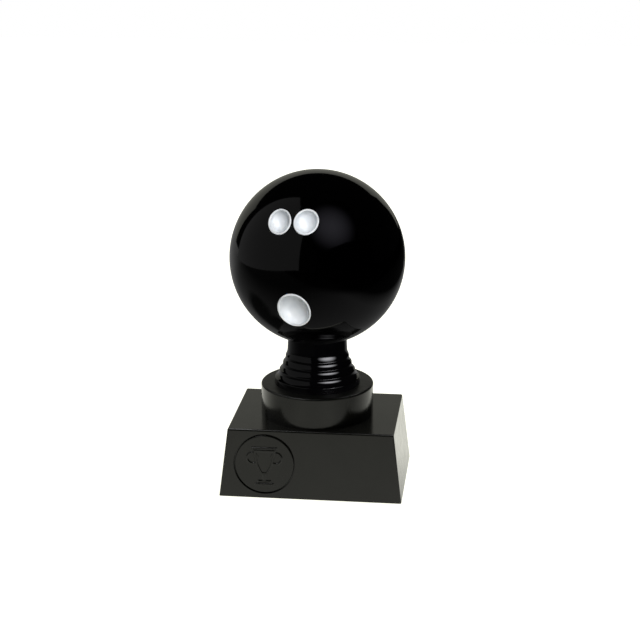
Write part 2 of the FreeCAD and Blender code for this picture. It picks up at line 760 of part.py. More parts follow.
def build_ball_shells():
    """Front and rear half shells: a lap joint at the seam, a boss that traps the nut between them."""
    blank = solid("Sphere", "ball_blank", Radius=BALL_RADIUS)
    hollow = solid("Sphere", "ball_hollow", Radius=f"{BALL_RADIUS} - ball_wall")
    skin = cut("ball_skin", blank, hollow)
    sockets = socket_set("sockets", "socket_gap + socket_wall", "cup_wall + socket_wall")
    boss = solid("Cylinder", "ball_boss", Radius=f"{NUT_CORNER} + loose_gap + nut_wall",
                 Height=f"nut_seat + {NUT_POCKET} + boss_cap", Placement__Base__z=f"- {BALL_RADIUS}")
    posts = combine("MultiFuse", "ball_posts", [sockets, boss])
    inside = combine("MultiCommon", "ball_inside", [posts, blank])
    ball = combine("MultiFuse", "ball_joined", [skin, inside])

    openings = [
        socket_set("socket_bores", "socket_gap", "cup_wall"),
        solid("Cylinder", "ball_stud_bore", Radius=BORE_LOOSE, Height=BALL_RADIUS,
              Placement__Base__z=f"-1 * {BALL_RADIUS}"),
        solid("Prism", "ball_nut_pocket", Circumradius=f"{NUT_CORNER} + loose_gap", Height=NUT_POCKET,
              Placement__Base__z=f"nut_seat - {BALL_RADIUS}"),
    ]
    bores = combine("MultiFuse", "ball_bores", openings)

    lip_outer = f"({BALL_RADIUS} - lip_cover)"
    lip_inner = f"({lip_outer} - lip_thickness)"
    lip = seam_ring("seam_lip", lip_outer, lip_inner, "lip_root", "lip_length")
    rebate = seam_ring("seam_rebate", f"{lip_outer} + lip_gap", f"{lip_inner} - lip_gap", "0",
                       "lip_length + lip_gap")

    front = combine("MultiCommon", "ball_front", [ball, half_space("front_side", -1)])
    front_with_lip = combine("MultiFuse", "ball_front_lipped", [front, lip])
    front_shell = cut("ball_front_shell", front_with_lip, bores)
    rear = combine("MultiCommon", "ball_rear", [ball, half_space("rear_side", 1)])
    rear_cuts = combine("MultiFuse", "ball_rear_cuts", [bores, rebate])
    rear_shell = cut("ball_rear_shell", rear, rear_cuts)
    for shell in (front_shell, rear_shell):
        place_in_figure(shell)
    return [front_shell, rear_shell]


def build_cup(name, radius, depth, across, up):
    """A white cup with a rounded floor, its rim following the ball just below the surface."""
    floor = cup_floor(depth, across, up)
    body = new_body(f"{name}_turned")
    section = new_sketch(body, f"{name}_section", "XZ_Plane")
    add_outline(section, [
        ("0", f"{floor} - cup_wall"),
        (radius, f"{floor} - cup_wall"),
        (radius, BALL_RADIUS),
        (f"{radius} - cup_wall", BALL_RADIUS),
        (f"{radius} - cup_wall", f"{floor} + cup_round", "cup_round", -1),
        (f"{radius} - cup_wall - cup_round", floor),
        ("0", floor),
    ])
    revolve(body, f"{name}_revolved", section)
    tilt_to_grip(body)
    bind(body, Placement__Base__x=across, Placement__Base__y=f"{up} * sin(grip_tilt * 1 deg)",
         Placement__Base__z=f"{up} * cos(grip_tilt * 1 deg)")
    limit = solid("Sphere", f"{name}_limit", Radius=f"{BALL_RADIUS} - cup_sink")
    cup = combine("MultiCommon", name, [body, limit])
    cup.Label = name
    place_in_figure(cup)
    return cup


# ---------------------------------------------------------------- the whole object

def build_all():
    pieces = [
        build_plinth_shell(),
        build_emblem_disc(),
        build_riser_disc(),
        build_base_cover(),
        build_base_pad(),
        build_ballast_plate(),
        build_cover_screws(),
        build_clamp_washer(),
        build_tie_stud(),
        build_nut("clamp_nut", f"{RIB_BOTTOM} + stud_tail", "0 deg"),
        build_nut("captive_nut", f"{BALL_BOTTOM} + nut_seat", "grip_turn * 1 deg"),
        build_neck(),
    ]
    pieces += build_ball_shells()
    pieces += [build_cup(name, *cup) for name, cup in CUPS.items()]
    doc.recompute()
    return pieces


def check_document():
    """Refuse a document with a failed object."""
    for thing in doc.Objects:
        if {"Invalid", "Error"} & set(thing.State):
            raise RuntimeError(f"{thing.Label} failed: {thing.State}")


def write_parts(pieces):
    os.makedirs("parts", exist_ok=True)
    for piece in pieces:
        shape = piece.Shape
        if shape.isNull() or not shape.isValid() or not shape.Solids:
            raise RuntimeError(f"{piece.Label} has no valid solid")
        shape.exportStep(f"parts/{piece.Label}.step")
        print(f"{piece.Label}: {len(shape.Solids)} solid(s), {shape.Volume:.1f} mm3")


all_pieces = build_all()
check_document()
write_parts(all_pieces)
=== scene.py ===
"""Bowling trophy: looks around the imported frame. Metres, +Z up, front of the plinth towards -Y."""
import json
import math

import bmesh
import bpy
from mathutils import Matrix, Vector, noise


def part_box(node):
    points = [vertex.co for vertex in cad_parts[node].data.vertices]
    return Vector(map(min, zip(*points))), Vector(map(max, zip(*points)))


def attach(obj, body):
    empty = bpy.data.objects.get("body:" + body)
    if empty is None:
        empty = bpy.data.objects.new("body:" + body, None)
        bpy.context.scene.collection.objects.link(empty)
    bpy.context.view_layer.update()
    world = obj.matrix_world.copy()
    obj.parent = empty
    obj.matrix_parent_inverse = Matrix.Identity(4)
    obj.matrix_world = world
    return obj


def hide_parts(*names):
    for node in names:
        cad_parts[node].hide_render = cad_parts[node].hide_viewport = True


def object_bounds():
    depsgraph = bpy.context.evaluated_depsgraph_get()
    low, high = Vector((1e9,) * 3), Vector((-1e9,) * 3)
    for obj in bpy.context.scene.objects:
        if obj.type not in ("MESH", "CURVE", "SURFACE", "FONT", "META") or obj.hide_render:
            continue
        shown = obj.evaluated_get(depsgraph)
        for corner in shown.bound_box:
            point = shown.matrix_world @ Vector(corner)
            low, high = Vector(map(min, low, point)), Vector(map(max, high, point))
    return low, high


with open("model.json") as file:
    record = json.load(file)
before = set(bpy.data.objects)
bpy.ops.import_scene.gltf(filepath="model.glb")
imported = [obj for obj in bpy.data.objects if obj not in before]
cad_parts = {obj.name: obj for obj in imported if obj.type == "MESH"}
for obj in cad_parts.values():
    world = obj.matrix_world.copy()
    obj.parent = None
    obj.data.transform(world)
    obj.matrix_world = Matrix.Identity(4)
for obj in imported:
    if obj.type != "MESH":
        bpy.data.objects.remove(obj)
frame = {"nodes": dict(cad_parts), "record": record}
cad_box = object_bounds()
MM = 0.001
PLASTIC_INDEX = 1.5


# ---------------------------------------------------------------- node helpers

class Shader:
    """A material's node tree, with short calls for the nodes used here."""

    def __init__(self, name, **constants):
        self.material = bpy.data.materials.new(name)
        self.material.use_nodes = True
        self.nodes = self.material.node_tree.nodes
        self.links = self.material.node_tree.links
        self.surface = self.nodes["Principled BSDF"]
        for socket, constant in constants.items():
            self.surface.inputs[socket.replace("_", " ")].default_value = constant
        self.place = self.nodes.new("ShaderNodeTexCoord").outputs["Object"]

    def noise(self, size_mm, detail=3.0, distortion=0.0):
        """A noise of about this feature size."""
        node = self.nodes.new("ShaderNodeTexNoise")
        node.inputs["Scale"].default_value = 1.0 / (size_mm * MM)
        node.inputs["Detail"].default_value = detail
        node.inputs["Distortion"].default_value = distortion
        self.links.new(self.place, node.inputs["Vector"])
        return node.outputs["Fac"]

    def stretched(self, factors):
        """Object coordinates stretched along the axes, for brushed and rolled grain."""
        node = self.nodes.new("ShaderNodeMapping")
        node.inputs["Scale"].default_value = factors
        self.links.new(self.place, node.inputs["Vector"])
        self.place = node.outputs["Vector"]

    def ramp(self, source, stops):
        """A colour ramp with (position, colour) stops."""
        node = self.nodes.new("ShaderNodeValToRGB")
        ends = node.color_ramp.elements
        for element, (position, colour) in zip(ends, stops):
            element.position = position
            element.color = (*colour, 1)
        for position, colour in stops[2:]:
            ends.new(position).color = (*colour, 1)
        self.links.new(source, node.inputs["Fac"])
        return node.outputs["Color"]

    def spread(self, source, low, high):
        """Map a noise to a range."""
        node = self.nodes.new("ShaderNodeMapRange")
        node.inputs["From Min"].default_value = 0.3
        node.inputs["From Max"].default_value = 0.7
        node.inputs["To Min"].default_value = low
        node.inputs["To Max"].default_value = high
        self.links.new(source, node.inputs["Value"])
        return node.outputs["Result"]

    def bump(self, source, height_mm, strength=1.0, below=None):
        node = self.nodes.new("ShaderNodeBump")
        node.inputs["Strength"].default_value = strength
        node.inputs["Distance"].default_value = height_mm * MM
        self.links.new(source, node.inputs["Height"])
        if below is not None:
            self.links.new(below, node.inputs["Normal"])
        return node.outputs["Normal"]

    def hazed(self, polish, amount):
        """More roughness where the surface faces up."""
        coordinates = self.nodes.new("ShaderNodeTexCoord")
        split = self.nodes.new("ShaderNodeSeparateXYZ")
        self.links.new(coordinates.outputs["Normal"], split.inputs[0])
        node = self.nodes.new("ShaderNodeMath")
        node.operation = "MULTIPLY_ADD"
        node.use_clamp = True
        self.links.new(split.outputs["Z"], node.inputs[0])
        node.inputs[1].default_value = amount
        self.links.new(polish, node.inputs[2])
        return node.outputs["Value"]

    def connect(self, **sources):
        for socket, source in sources.items():
            self.links.new(source, self.surface.inputs[socket.replace("_", " ")])
        return self.material


def black_plastic(name, dark, light, gloss, ripple_mm, grain_mm, level_haze=0.0):
    """Moulded black plastic: faint tone drift, a slightly uneven polish and a fine ripple."""
    shader = Shader(name, IOR=PLASTIC_INDEX)
    tone = shader.ramp(shader.noise(14, 4), [(0.35, dark), (0.65, light)])
    polish = shader.spread(shader.noise(3.5, 6, 0.4), *gloss)
    if level_haze:
        polish = shader.hazed(polish, level_haze)
    ripple = shader.bump(shader.noise(2.6, 1), ripple_mm)
    grain = shader.bump(shader.noise(0.25, 2), grain_mm, below=ripple)
    return shader.connect(Base_Color=tone, Roughness=polish, Normal=grain)


def white_plastic():
    shader = Shader("white_plastic", IOR=1.46, Subsurface_Weight=0.15, Subsurface_Scale=0.0008)
    shader.surface.inputs["Subsurface Radius"].default_value = (1.0, 0.9, 0.8)
    tone = shader.ramp(shader.noise(3, 4), [(0.3, (0.74, 0.77, 0.80)), (0.7, (0.83, 0.85, 0.87))])
    polish = shader.spread(shader.noise(1.2, 4), 0.3, 0.42)
    skin = shader.bump(shader.noise(0.5, 3), 0.012)
    return shader.connect(Base_Color=tone, Roughness=polish, Normal=skin)


def steel(name, dark, light, gloss, stretch):
    shader = Shader(name, Metallic=1.0)
    shader.stretched(stretch)
    tone = shader.ramp(shader.noise(0.8, 5), [(0.3, dark), (0.7, light)])
    polish = shader.spread(shader.noise(0.5, 4), *gloss)
    grain = shader.bump(shader.noise(0.3, 3), 0.01)
    return shader.connect(Base_Color=tone, Roughness=polish, Normal=grain)


def cover_plastic():
    shader = Shader("grey_cover_plastic", IOR=PLASTIC_INDEX)
    tones = [(0.3, (0.035, 0.035, 0.036)), (0.7, (0.055, 0.055, 0.055))]
    tone = shader.ramp(shader.noise(8, 4), tones)
    polish = shader.spread(shader.noise(1.0, 4), 0.5, 0.65)
    grain = shader.bump(shader.noise(0.45, 4), 0.05)
    return shader.connect(Base_Color=tone, Roughness=polish, Normal=grain)


def felt():
    shader = Shader("felt", Sheen_Weight=0.6, Sheen_Roughness=0.6)
    tones = [(0.25, (0.012, 0.012, 0.014)), (0.75, (0.05, 0.05, 0.055))]
    tone = shader.ramp(shader.noise(0.9, 8, 1.5), tones)
    rough = shader.spread(shader.noise(0.5, 4), 0.9, 1.0)
    pile = shader.bump(shader.noise(0.4, 8, 2.0), 0.25)
    return shader.connect(Base_Color=tone, Roughness=rough, Normal=pile)


# the dark and the light tone between which each colour drifts
GLOSS_TONES = ((0.0008, 0.0008, 0.0010), (0.0018, 0.0016, 0.0020))
SATIN_TONES = ((0.0150, 0.0152, 0.0130), (0.0195, 0.0198, 0.0170))
EMBLEM_TONES = ((0.0145, 0.0147, 0.0125), (0.0185, 0.0188, 0.0162))
BALLAST_TONES = ((0.20, 0.20, 0.21), (0.36, 0.36, 0.37))
ZINC_TONES = ((0.52, 0.53, 0.57), (0.68, 0.69, 0.72))
RISER_HAZE = 0.22

# after the tones comes the range of roughness; then for black plastic the heights of ripple and grain
# in mm, and for steel the stretch of its grain along X, Y and Z
MATERIALS = {
    "black_gloss_plastic": black_plastic("black_gloss_plastic", *GLOSS_TONES, (0.05, 0.09), 0.002, 0.0003),
    "black_satin_plastic": black_plastic(
        "black_satin_plastic", *SATIN_TONES, (0.13, 0.20), 0.006, 0.0015),
    "black_emblem_plastic": black_plastic(
        "black_emblem_plastic", *EMBLEM_TONES, (0.14, 0.22), 0.006, 0.002),
    "white_plastic": white_plastic(),
    "grey_cover_plastic": cover_plastic(),
    "felt": felt(),
    "ballast_steel": steel("ballast_steel", *BALLAST_TONES, (0.35, 0.5), (1, 8, 8)),
    "zinc_plated_steel": steel("zinc_plated_steel", *ZINC_TONES, (0.18, 0.32), (1, 1, 1)),
}

for part in frame["record"]["subparts"]:
    node = frame["nodes"][part["node"]]
    node.data.materials.clear()
    node.data.materials.append(MATERIALS[part["material_slot"]])

# the riser's top is duller than its side
frame["nodes"]["riser_disc"].data.materials[0] = black_plastic(
    "black_satin_riser", *SATIN_TONES, (0.15, 0.22), 0.006, 0.0015, RISER_HAZE)


# ---------------------------------------------------------------- mesh helpers

SHARP_ANGLE = math.radians(40)


def closed_mesh(name, rings):
    """A closed mesh over rings of points, of which the first and the last are a single point."""
    count = len(rings[1])
    points = [point for ring in rings for point in ring]
    last = len(points) - 1
    faces = []
    for k in range(count):
        after = (k + 1) % count
        faces.append((0, 1 + after, 1 + k))
        faces.append((last, last - count + k, last - count + after))
    for row in range(len(rings) - 3):
        low = 1 + row * count
        high = low + count
        for k in range(count):
            after = (k + 1) % count
            faces.append((low + k, low + after, high + after, high + k))
    mesh = bpy.data.meshes.new(name)
    mesh.from_pydata(points, [], faces)
    mesh.validate()
    return mesh


def surface_from_rings(name, rings, node, body):
    """A smooth piece that takes the place of a CAD node, with that node's material."""
    mesh = closed_mesh(name, rings)
    work = bmesh.new()
    work.from_mesh(mesh)
    bmesh.ops.recalc_face_normals(work, faces=work.faces)
    work.to_mesh(mesh)
    work.free()
    mesh.shade_smooth()
    mesh.set_sharp_from_angle(angle=SHARP_ANGLE)
    piece = bpy.data.objects.new(name, mesh)
    bpy.context.scene.collection.objects.link(piece)
    mesh.materials.append(frame["nodes"][node].data.materials[0])
    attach(piece, body)
    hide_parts(node)


def reach(node, direction):
    """How far a node's points lie along a direction: (least, most)."""
    along = [vertex.co.dot(direction) for vertex in frame["nodes"][node].data.vertices]
    return min(along), max(along)


def arc_points(centre, radius, start, end, steps):
    """Points of a profile arc, angles in degrees."""
    angles = [math.radians(start + (end - start) * k / steps) for k in range(steps + 1)]
    return [(centre[0] + radius * math.cos(a), centre[1] + radius * math.sin(a)) for a in angles]


# ---------------------------------------------------------------- cups in the ball

# the grip axis, out of the front of the ball, and the directions across and up from it
GRIP_TURN = math.radians(-8.6)
GRIP_TILT = math.radians(9.5)
OUTWARD = Vector((
    math.sin(GRIP_TURN) * math.cos(GRIP_TILT),
    -math.cos(GRIP_TURN) * math.cos(GRIP_TILT),
    math.sin(GRIP_TILT)))
ACROSS = Vector((math.cos(GRIP_TURN), math.sin(GRIP_TURN), 0))
UPWARD = OUTWARD.cross(ACROSS) * -1
CUP_SEGMENTS = 96
CUP_WALL = 0.8 * MM
CUP_LIP = 0.32 * MM
CUP_FLOOR_ROUND = 3.0 * MM
CUP_HEEL_ROUND = 0.5 * MM
CUP_DISH = 0.2 * MM


def cup_profile(radius, bottom):
    """Points of (radius, height, from_rim): heights count from the rim where from_rim is true."""
    inner = radius - CUP_WALL
    floor_level = bottom + CUP_WALL
    heel = arc_points((radius - CUP_HEEL_ROUND, CUP_HEEL_ROUND), CUP_HEEL_ROUND, -60, 0, 3)
    lip_out = arc_points((radius - CUP_LIP, -CUP_LIP), CUP_LIP, 0, 90, 6)
    lip_in = arc_points((inner + CUP_LIP, -CUP_LIP), CUP_LIP, 90, 180, 6)
    fillet = arc_points((inner - CUP_FLOOR_ROUND, CUP_FLOOR_ROUND), CUP_FLOOR_ROUND, 0, -90, 12)
    flat = max(inner - CUP_FLOOR_ROUND, 0)
    profile = [(0.5 * radius, bottom, False), (radius - CUP_HEEL_ROUND, bottom, False)]
    profile += [(r, bottom + h, False) for r, h in heel]
    profile += [(radius, -CUP_LIP * 3, True)]
    profile += [(r, h, True) for r, h in lip_out + lip_in]
    profile += [(inner, -CUP_LIP * 3, True)]
    profile += [(r, floor_level + h, False) for r, h in fillet]
    profile += [(flat * k / 4, floor_level - CUP_DISH * (4 - k) / 4, False) for k in (3, 2, 1)]
    return profile


def ball_level(spot, ball_centre, ball_radius):
    """How far out the ball's surface lies on the line through a spot along the grip axis."""
    away = spot - ball_centre
    away -= OUTWARD * away.dot(OUTWARD)
    return ball_centre.dot(OUTWARD) + math.sqrt(ball_radius ** 2 - away.length_squared)


def build_cup(node, piece_name):
    """A moulded cup: rim that follows the ball, smooth wall, deep fillet and a dished floor."""
    ball_low, ball_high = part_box("ball_front_shell")
    ball_radius = (ball_high.z - ball_low.z) / 2
    ball_centre = Vector((0, 0, (ball_high.z + ball_low.z) / 2))
    left, right = reach(node, ACROSS)
    low, high = reach(node, UPWARD)
    bottom = reach(node, OUTWARD)[0]
    radius = (right - left) / 2
    centre = ACROSS * ((left + right) / 2) + UPWARD * ((low + high) / 2)
    rings = [[centre + OUTWARD * bottom]]
    for distance, height, from_rim in cup_profile(radius, bottom):
        ring = []
        for k in range(CUP_SEGMENTS):
            angle = 2 * math.pi * k / CUP_SEGMENTS
            direction = ACROSS * math.cos(angle) + UPWARD * math.sin(angle)
            level = height
            if from_rim:
                wall_middle = centre + direction * (radius - CUP_WALL / 2)
                level += ball_level(wall_middle, ball_centre, ball_radius)
            ring.append(centre + direction * distance + OUTWARD * level)
        rings.append(ring)
    rings.append([centre + OUTWARD * (bottom + CUP_WALL - CUP_DISH)])
    surface_from_rings(piece_name, rings, node, "figure")


# ---------------------------------------------------------------- emblem

EMBLEM_LEAN = math.radians(3.03)
EMBLEM_OUT = Vector((0, -math.cos(EMBLEM_LEAN), math.sin(EMBLEM_LEAN)))
EMBLEM_UP = Vector((0, math.sin(EMBLEM_LEAN), math.cos(EMBLEM_LEAN)))
EMBLEM_SEGMENTS = 400
EMBLEM_RINGS = 120
EMBLEM_RIM = 0.45 * MM
EMBLEM_BACK_BEVEL = 0.2 * MM

# the cup in relief, in millimetres
CUP_DROP = 1.2
CUP_HALF_HEIGHT = 8.6
LIP_HEIGHT = 1.0
LIP_HALF = 5.6
FOOT_HEIGHT = 1.4
FOOT_HALF = 4.2
STEP_HEIGHT = 1.2
STEP_HALF = 3.0
BAND_HALF_HEIGHT = 0.75
STEM_HEIGHT = 2.6
STEM_HALF = 0.95
STEM_HALF_HEIGHT = 1.8
BOWL_FOOT = 0.8
BOWL_SPREAD = 4.1
BOWL_ROUNDNESS = 0.62
HANDLE_CENTRE = (5.0, 3.8)
HANDLE_RADIUS = 2.4
HANDLE_HALF = 0.55
FULL_RELIEF = 0.4
THIN_RELIEF = 0.34
STEP_RELIEF = 0.32
BOWL_HOLLOW = 0.16
BOWL_RIM = 0.9
SLOPE = 0.55
HOLLOW_SLOPE = 0.5


def box_distance(x, y, centre_y, half_x, half_y):
    """Distance outside a box on the emblem's axis, in millimetres; negative inside."""
    return max(abs(x) - half_x, abs(y - centre_y) - half_y)


def bowl_half_width(y, low, high):
    """The bowl narrows from its lip to the stem in a round curve."""
    share = (y - low) / (high - low)
    return BOWL_FOOT + BOWL_SPREAD * math.sin(min(max(share, 0), 1) * math.pi / 2) ** BOWL_ROUNDNESS


def raised(distance, height, slope=SLOPE):
    """Height inside an outline whose edge slopes."""
    share = min(max(-distance / slope, 0), 1)
    return height * share * share * (3 - 2 * share)


def relief(x, y):
    """Height of the plain cup over the emblem's face, in millimetres."""
    y += CUP_DROP
    foot_top = FOOT_HEIGHT - CUP_HALF_HEIGHT
    step_top = foot_top + STEP_HEIGHT
    bowl_low = step_top + STEM_HEIGHT
    bowl_high = CUP_HALF_HEIGHT - LIP_HEIGHT
    lip = box_distance(x, y, CUP_HALF_HEIGHT - 0.55, LIP_HALF, BAND_HALF_HEIGHT)
    flank = abs(x) - bowl_half_width(y, bowl_low, bowl_high)
    bowl = max(flank, bowl_low - 0.3 - y, y - bowl_high - 0.2)
    stem = box_distance(x, y, (step_top + bowl_low) / 2, STEM_HALF, STEM_HALF_HEIGHT)
    step = box_distance(x, y, foot_top + 0.6, STEP_HALF, BAND_HALF_HEIGHT)
    foot = box_distance(x, y, 0.7 - CUP_HALF_HEIGHT, FOOT_HALF, BAND_HALF_HEIGHT)
    around = math.hypot(abs(x) - HANDLE_CENTRE[0], y - HANDLE_CENTRE[1])
    handle = abs(around - HANDLE_RADIUS) - HANDLE_HALF
    sunken_bowl = raised(bowl, FULL_RELIEF) - raised(bowl + BOWL_RIM, BOWL_HOLLOW, HOLLOW_SLOPE)
    return max(
        raised(lip, FULL_RELIEF), sunken_bowl, raised(stem, THIN_RELIEF), raised(step, STEP_RELIEF),
        raised(foot, FULL_RELIEF), raised(handle, THIN_RELIEF))


def build_emblem():
    """A disc with a rounded rim and a cup in soft low relief."""
    node = "emblem_disc"
    left, right = reach(node, Vector((1, 0, 0)))
    low, high = reach(node, EMBLEM_UP)
    back, front = reach(node, EMBLEM_OUT)
    radius = (right - left) / 2
    centre = Vector(((left + right) / 2, 0, 0)) + EMBLEM_UP * ((low + high) / 2)
    face = front - FULL_RELIEF * MM
    flat = radius - EMBLEM_RIM
    face_radii = [radius * k / EMBLEM_RINGS for k in range(1, EMBLEM_RINGS + 1)]
    rounding = arc_points((flat, -EMBLEM_RIM), EMBLEM_RIM, 90, 0, 8)
    levels = [(r, face, True) for r in face_radii if r < flat]
    levels += [(r, face + h, False) for r, h in rounding]
    levels += [(radius, back + EMBLEM_BACK_BEVEL, False), (radius - EMBLEM_BACK_BEVEL, back, False)]
    levels += [(radius / 2, back, False)]
    rings = [[centre + EMBLEM_OUT * (face + relief(0, 0) * MM)]]
    for distance, level, on_face in levels:
        ring = []
        for k in range(EMBLEM_SEGMENTS):
            angle = 2 * math.pi * k / EMBLEM_SEGMENTS
            x = distance * math.cos(angle)
            y = distance * math.sin(angle)
            rise = relief(x / MM, y / MM) * MM if on_face else 0
            ring.append(centre + Vector((x, 0, 0)) + EMBLEM_UP * y + EMBLEM_OUT * (level + rise))
        rings.append(ring)
    rings.append([centre + EMBLEM_OUT * back])
    surface_from_rings("emblem_relief", rings, node, "plinth")


# ---------------------------------------------------------------- threaded stud

THREAD_PITCH = 1.0 * MM
THREAD_DEPTH = 0.55 * MM
THREAD_STEPS = 8
THREAD_SEGMENTS = 36
STUD_CHAMFER = 0.7 * MM
FLANK_STEEPNESS = 1.25
CREST_SHARE = 0.12


def build_stud():
    """The tie stud with its rolled thread, both ends chamfered."""
    node = "tie_stud"
    low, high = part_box(node)
    radius = (high.x - low.x) / 2
    count = round((high.z - low.z) / THREAD_PITCH * THREAD_STEPS)
    rings = [[Vector((0, 0, low.z))]]
    for row in range(count + 1):
        z = low.z + (high.z - low.z) * row / count
        to_end = min(z - low.z, high.z - z)
        limit = radius - STUD_CHAMFER + min(to_end, STUD_CHAMFER)
        ring = []
        for k in range(THREAD_SEGMENTS):
            turn = k / THREAD_SEGMENTS
            phase = (z / THREAD_PITCH - turn) % 1
            flank = abs(2 * phase - 1)
            groove = THREAD_DEPTH * min(max(flank * FLANK_STEEPNESS - CREST_SHARE, 0), 1)
            size = min(radius - groove, limit)
            angle = 2 * math.pi * turn
            ring.append(Vector((size * math.cos(angle), size * math.sin(angle), z)))
        rings.append(ring)
    rings.append([Vector((0, 0, high.z))])
    surface_from_rings("threaded_stud", rings, node, "figure")


# ---------------------------------------------------------------- felt pad

FELT_AROUND = 480
FELT_CORNER = 4.0 * MM
FELT_FUZZ = 0.10 * MM
FELT_PILE = 0.12 * MM
# fineness of fuzz and pile, per metre
FUZZ_SCALE = 900
PILE_SCALE = 700


def rounded_outline(half_x, half_y, corner, count):
    """Evenly spaced points round a rectangle with round corners, with their outward directions."""
    straight_x = 2 * (half_x - corner)
    straight_y = 2 * (half_y - corner)
    quarter = math.pi * corner / 2
    legs = [(straight_y, (1, 0)), (straight_x, (0, 1)), (straight_y, (-1, 0)), (straight_x, (0, -1))]
    total = 2 * (straight_x + straight_y) + 4 * quarter
    outline = []
    for k in range(count):
        left = total * k / count
        for length, (out_x, out_y) in legs:
            if left <= length:
                slide = left - length / 2
                x = out_x * half_x - out_y * slide
                y = out_y * half_y + out_x * slide
                outline.append((x, y, out_x, out_y))
                break
            left -= length
            if left <= quarter:
                angle = math.atan2(out_y, out_x) + left / corner
                corner_x = out_x * (half_x - corner) - out_y * (half_x - corner)
                corner_y = out_y * (half_y - corner) + out_x * (half_y - corner)
                x = corner_x + corner * math.cos(angle)
                y = corner_y + corner * math.sin(angle)
                outline.append((x, y, math.cos(angle), math.sin(angle)))
                break
            left -= quarter
    return outline


def build_felt():
    """The felt pad: soft rounded edges with a fibrous, slightly uneven surface."""
    node = "base_pad"
    low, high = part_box(node)
    half_x, half_y = high.x, high.y
    outline = rounded_outline(half_x - FELT_FUZZ, half_y - FELT_FUZZ, FELT_CORNER, FELT_AROUND)
    # inset and height of each ring, from inside the underside round the edge to inside the top
    section = [(inset * MM, low.z) for inset in (20, 16, 12, 9, 6.5, 4.5, 3, 2, 1.2, 0.7)]
    section += [(0.35 * MM, low.z + 0.03 * MM), (0.12 * MM, low.z + 0.15 * MM), (0, low.z + 0.35 * MM)]
    section += [(0, high.z - 0.35 * MM), (0.12 * MM, high.z - 0.15 * MM), (0.35 * MM, high.z - 0.03 * MM)]
    section += [(1.0 * MM, high.z), (12 * MM, high.z)]
    rings = [[Vector((0, 0, low.z))]]
    for inset, z in section:
        ring = []
        for x, y, out_x, out_y in outline:
            shrink_x = (half_x - inset) / half_x
            shrink_y = (half_y - inset) / half_y
            spot = Vector((x * shrink_x, y * shrink_y, z))
            grain = noise.noise(spot * FUZZ_SCALE) * FELT_FUZZ
            spot.x += out_x * grain
            spot.y += out_y * grain
            if z < low.z + 0.2 * MM:
                spot.z += abs(noise.noise(spot * PILE_SCALE + Vector((3, 7, 0)))) * FELT_PILE
            ring.append(spot)
        rings.append(ring)
    rings.append([Vector((0, 0, high.z))])
    surface_from_rings("felt_pad", rings, node, "plinth")


build_cup("finger_cup_left", "left_finger_insert")
build_cup("finger_cup_right", "right_finger_insert")
build_cup("thumb_cup", "thumb_insert")
build_emblem()
build_stud()
build_felt()


# ---------------------------------------------------------------- studio

# painted light: the table's glow along Y and X, a lit pool that darkens to the front and right, as base and
# cups reflect it; stops are (metres, brightness)
PAINTED_LIGHT_ALONG = [
    (-0.5, 0.0), (-0.25, 0.03), (-0.19, 0.5), (-0.03, 0.45),
    (0.04, 1.0), (0.2, 1.0), (0.36, 0.3), (0.5, 0.3)]
PAINTED_LIGHT_ACROSS = [
    (-0.5, 0.5), (-0.1, 0.75), (-0.05, 1.1), (-0.02, 1.0),
    (0.03, 1.0), (0.06, 1.1), (0.1, 0.75), (0.28, 0.1)]
# painted shade in the table's colour, which is all that ball and neck reflect of it:
# darker along the diagonal to the front right, along Y and along X
PAINTED_SHADE_FRONT = [(-0.5, 1.0), (0.16, 1.0), (0.21, 0.12), (0.5, 0.05)]
PAINTED_SHADE_ALONG = [(-0.5, 0.33), (0.1, 0.33), (0.25, 0.5), (0.5, 0.5)]
PAINTED_SHADE_ACROSS = [(-0.5, 1.0), (0.11, 1.0), (0.17, 0.05), (0.5, 0.0)]
WARM = (1.0, 1.0, 0.88, 1.0)
TABLE_SEEN = 1.2
SUN_STRENGTH = 2.0
SUN_ANGLE = math.radians(12)
ROOM_GLOW = 0.003
LEFT_CARD_PLACE = (-0.6, -0.85, 0.9)
LEFT_CARD_STRETCH = (1.5, 1.9, 1)


def polar(azimuth, elevation, distance, about=Vector((0, 0, 0))):
    """A point seen from about; azimuth 0 is in front of the plinth, 90 towards +X."""
    a = math.radians(azimuth)
    e = math.radians(elevation)
    return about + Vector((math.sin(a) * math.cos(e), -math.cos(a) * math.cos(e), math.sin(e))) * distance


def aim(thing, target):
    """Turn a light, card or camera to face the target."""
    thing.rotation_euler = (target - thing.location).to_track_quat("-Z", "Y").to_euler()


def shine_only_on(light, receivers):
    """Light linking: this light or glowing card reaches only these pieces."""
    group = bpy.data.collections.new(f"{light.name}_receivers")
    for thing in receivers:
        group.objects.link(thing)
    light.light_linking.receiver_collection = group


def soft_box(name, azimuth, elevation, distance, width, height, radiance, receivers):
    """An area light of this size and brightness, aimed at the trophy."""
    data = bpy.data.lights.new(name, "AREA")
    data.shape = "RECTANGLE"
    data.size = width
    data.size_y = height
    data.energy = radiance * math.pi * width * height
    light = bpy.data.objects.new(name, data)
    bpy.context.scene.collection.objects.link(light)
    target = Vector((0, 0, cad_box[1].z / 2))
    light.location = polar(azimuth, elevation, distance, target)
    aim(light, target)
    light.visible_camera = False
    shine_only_on(light, receivers)


